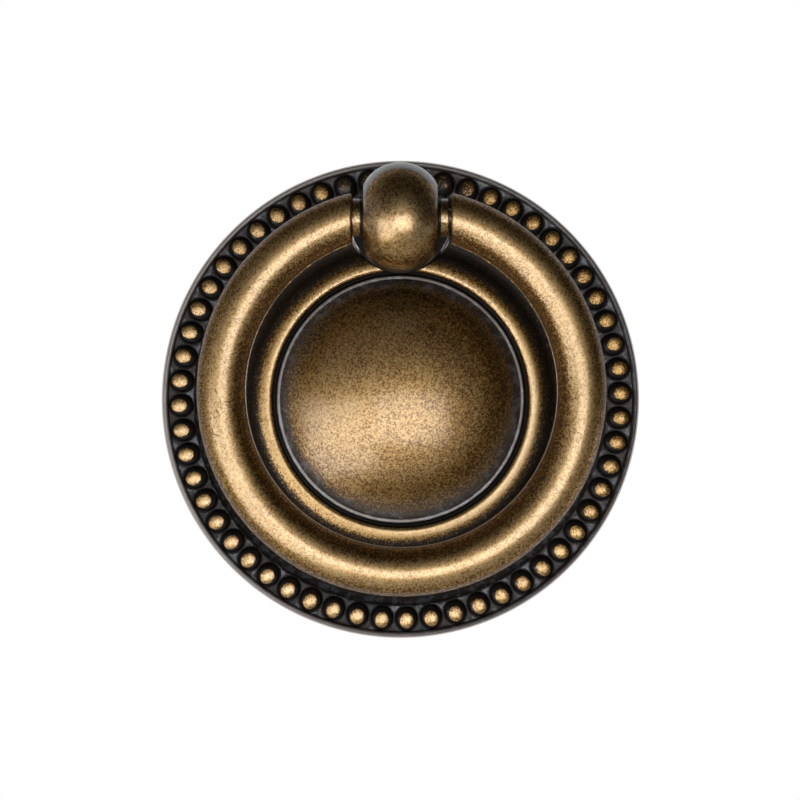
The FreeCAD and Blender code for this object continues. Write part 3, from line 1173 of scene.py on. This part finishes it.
def plate_zones(metal, x, y, z):
    """Gold on the dome, on the moulding's crest and on the beads; soot in the groove and the channel;
    painted shade, painted highlights and painted reflection where noted.
    """
    height = -y
    from_axis = (x * x + z * z).root()
    tables = (wear_by_distance, lacquer_by_distance, soot_by_distance, slate_by_distance, bare_and_sheen_by_distance)
    wear, lacquer, soot, slate, bare_and_sheen = [
        metal.by_distance(from_axis, plate_radius, table) for table in tables
    ]
    on_front = seen_from_front(from_axis, height)
    on_seat, painted_glint = seat_and_painted_glint(x, z - pivot.z, from_axis)

    across, outward = from_nearest_bead(metal, x, z, from_axis)
    from_bead = (across * across + outward * outward).root()
    from_cap = ((across * cap_narrowing) ** 2 + (outward - cap_outward) ** 2).root()
    towards_lit_side = along((x, z), lit_way) / from_axis
    on_bead = (cap_wear - cap_wear_lost * from_cap.rising(*cap_fade)) * from_cap.falling(*cap_edge)
    # Painted shade: beads near the top, under the ring's ends and the ball, lose their gold
    on_bead = on_bead * (1 - painted_shade_near_top * (z / from_axis).rising(*painted_shade_near_top_edge))
    # Painted light: more gold on the bead tops towards the lamp at the lower left
    on_bead = on_bead * height.rising(*cap_height) * (cap_painted_light_round[0] + cap_painted_light_round[1] * towards_lit_side)
    on_band = from_axis.rising(band_inner + 0.05 * MM, band_inner + 0.15 * MM)
    by_bead = from_bead.falling(*crease_edge) * on_band
    # The crease round each bead: black patina and painted shade
    in_crease = by_bead * (1 - on_bead).limited()

    on_slope = from_axis.falling(band_outer + 0.48 * MM, band_outer + 0.60 * MM)
    on_slope = on_slope * from_axis.rising(band_outer - 0.1 * MM, band_outer)
    # Painted reflection: the rim's inner slope is paler grey towards the left and darker towards the right
    slope_bare_and_sheen = rim_wear + rim_painted_sheen_spread * along((x, z), rim_sheen_way) / from_axis
    bare_and_sheen = bare_and_sheen * (1 - on_slope * (1 - slope_bare_and_sheen))

    on_dome = from_axis.falling(dome_radius - 0.1 * MM, dome_radius)
    off_dome = 1 - on_dome
    lit = along((x, z), lit_way) / from_axis.larger(dome_radius)
    # Painted shade: less gold on the dome's right, on the moulding where the lower-left lamp lights it, and
    # at its top
    painted_shade_on_gold = on_dome * dome_painted_shade_to_right * x / dome_radius
    painted_shade_on_gold = painted_shade_on_gold + off_dome * moulding_painted_shade_when_lit * lit.larger(0)
    painted_shade_on_gold = painted_shade_on_gold + off_dome * moulding_painted_shade_at_top * (z / from_axis).rising(0.2, 0.9)
    wear = (wear * (1 - painted_shade_on_gold) * on_front).larger(on_bead) * (1 - on_seat)

    lacquer_lost = on_dome * dome_lacquer_unlit * (1 - lit) + off_dome * moulding_lacquer_lit * lit.larger(0)
    cap_lacquer = cap_lacquer_round[0] + cap_lacquer_round[1] * towards_lit_side
    lacquer = (lacquer * (1 - lacquer_lost)).larger(from_bead.falling(*cap_lacquer_edge) * cap_lacquer)
    lacquer = lacquer * (1 - in_crease * crease_dulling) * (1 - seat_dulling * on_seat)
    lacquer = back_lacquer + (lacquer.larger(painted_glint) - back_lacquer) * on_front

    # The painted highlight on the seat's corners: pale grey there
    bare_and_sheen = bare_and_sheen.larger(painted_glint * painted_glint_grey) * on_front
    # The seat under the ball is black: black patina and painted shade
    soot = soot.larger(in_crease * crease_soot_and_shade).larger(on_seat * (1 - painted_glint)) * on_front
    slate = slate * (1 - on_seat) * (1 - by_bead) * on_front
    return wear * on_front, bare_and_sheen, lacquer, soot, slate


# The knuckle: wear of the ball at its edge and what its middle has more, and wear of the bosses
ball_edge_wear = 0.30
ball_middle_wear = 0.36
boss_wear = 0.5
ball_lacquer_lost = 0.72
# The ball's top: less gold as painted shade, and slate-grey as a painted reflection
top_painted_shade = 0.8
top_lacquer = 0.75
top_painted_reflection = 0.3
fillet_soot = 0.9


def knuckle_zones(metal, x, y, z):
    """Gold where the ball faces the front, less on the bosses, none behind; on top, less gold as painted
    shade and slate-grey as a painted reflection.
    """
    forward = pivot.y - y
    upward = z - pivot.z
    facing = forward / (forward * forward + upward * upward).root()
    beside = abs(x)
    tilt = beside / ball_arc_radius
    straight = facing * (1 - (tilt * tilt).smaller(1)).root()
    in_middle = beside.falling(ball_half - 1.0 * MM, ball_half - 0.05 * MM)
    on_ball = beside.falling(ball_half - 0.12 * MM, ball_half - 0.02 * MM)
    on_ball = on_ball * (ball_edge_wear + ball_middle_wear * in_middle)
    on_boss = beside.rising(ball_half + 0.3 * MM, ball_half + 0.45 * MM)
    in_fillet = beside.rising(ball_half - 0.06 * MM, ball_half) * (1 - on_boss)
    # The top of the ball, where painted shade and a painted reflection go
    on_top = straight.falling(0.45, 0.58) * (upward / ball_radius).rising(0.0, 0.4) * (1 - in_fillet)
    wear = on_ball.larger(on_boss * boss_wear) * facing.rising(0.20, 0.85) * (1 - on_top * top_painted_shade)
    lacquer = (1.0 - ball_lacquer_lost * facing.falling(0.82, 0.98)).larger(on_top * top_lacquer)
    soot = in_fillet * fillet_soot
    return wear, 0.0 * wear, lacquer * (1 - soot), soot, on_top * top_painted_reflection


# Scratches across the left of the ring, as (x, z) ends
ring_scratches = [
    ((-20.6 * MM, 1.3 * MM), (-20.2 * MM, 0.5 * MM)),
    ((-20.0 * MM, 0.2 * MM), (-19.8 * MM, -0.7 * MM)),
    ((-19.5 * MM, -0.3 * MM), (-18.7 * MM, -0.2 * MM)),
    ((-20.4 * MM, -1.1 * MM), (-19.9 * MM, -1.9 * MM)),
    ((-21.1 * MM, -3.8 * MM), (-19.9 * MM, -4.0 * MM)),
    ((-20.9 * MM, -3.1 * MM), (-20.7 * MM, -3.8 * MM)),
]
scratch_width = 0.065 * MM

# The ring: least wear and what its front has more, the same for its lacquer, and its seam, rubbed
# bare and partly a painted highlight
ring_least_wear = 0.17
ring_front_wear = 0.64
ring_wear_outward = 0.10
ring_least_lacquer = 0.06
ring_front_lacquer = 0.84
ring_outer_lacquer = 0.10
seam_bare_and_sheen = 0.62
seam_lacquer = 0.6
seam_fade = 0.9
seam_fade_reach = 12.0 * MM


def scratched(x, z, start, end):
    """1 in a scratch from start to end, 0 beside it."""
    reach = math.hypot(end[0] - start[0], end[1] - start[1])
    step = ((end[0] - start[0]) / reach, (end[1] - start[1]) / reach)
    across = abs((x - start[0]) * step[1] - (z - start[1]) * step[0])
    lengthwise = (x - start[0]) * step[0] + (z - start[1]) * step[1]
    beyond = abs(lengthwise - reach / 2)
    return across.falling(scratch_width * 0.4, scratch_width) * beyond.falling(reach * 0.35, reach * 0.5)


def ring_zones(metal, x, y, z):
    """Gold on the front of the bar, where it is handled, brown towards its sides and back."""
    facing = (pivot.y - y) / bar_radius
    across, upward = x - ring_centre.x, z - ring_centre.z
    outward = ((across * across + upward * upward).root() - ring_radius) / bar_radius
    wear = (facing + outward * ring_wear_outward).rising(0.52, 1.06) * ring_front_wear + ring_least_wear
    none = 0.0 * wear
    soot = none
    for start, end in ring_scratches:
        soot = soot.larger(scratched(x, z, start, end))
    soot = soot * facing.rising(0.0, 0.2)
    # The seam: bare grey, partly a painted highlight, fading upwards
    on_seam = outward.falling(-1.01, -1.003) * (1 - seam_fade * upward.rising(0.0, seam_fade_reach))
    bare_and_sheen = seam_bare_and_sheen * on_seam
    lacquer = ring_least_lacquer + ring_front_lacquer * facing.rising(0.70, 0.95)
    lacquer = lacquer + ring_outer_lacquer * outward.rising(0.3, 0.8)
    lacquer = lacquer.larger(on_seam * seam_lacquer) * (1 - soot)
    return (wear * (1 - soot)).smaller(1 - bare_and_sheen), bare_and_sheen, lacquer, soot, none


def drawn_steel():
    material = bpy.data.materials.new("drawn_steel")
    metal = Finish(material)
    grain = metal.noise(metal.places()[0], steel_grain, detail=3)
    shader = metal.node(
        "ShaderNodeBsdfPrincipled",
        inputs={
            "Base Color": metal.blend(grain, steel_dark, steel_light),
            "Metallic": 1.0,
            "Roughness": steel_roughness + grain * steel_roughness_spread,
        },
    )
    metal.finish(shader)
    return material


def dress(piece, material, body, node):
    """Gives a finished piece its material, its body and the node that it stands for."""
    piece.data.materials.clear()
    piece.data.materials.append(material)
    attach(piece, body)
    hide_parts(node)


add_camera()
add_world()
add_floor()
add_softbox("front_softbox", front_lamp_place, front_lamp_size, front_lamp_watts)
add_softbox("front_fill", front_lamp_place, front_lamp_size, front_fill_watts, shades=False)
add_softbox("left_softbox", left_lamp_place, left_lamp_size, left_lamp_watts, shades=False)

dress(
    add_plate(),
    antique_brass("antique_brass_plate", plate_zones, rubbed_roughness, fine_flakes),
    "mount",
    "backplate",
)
dress(
    add_knuckle(),
    antique_brass("antique_brass_knuckle", knuckle_zones, rubbed_roughness_of_knuckle, coarse_flakes),
    "mount",
    "knuckle",
)
dress(
    add_ring(),
    antique_brass("antique_brass_ring", ring_zones, rubbed_roughness, fine_flakes),
    "pull_ring",
    "ring",
)

pin = frame["nodes"]["pivot_pin"]
pin.data.materials.clear()
pin.data.materials.append(drawn_steel())

bpy.context.scene.view_settings.view_transform = "Standard"
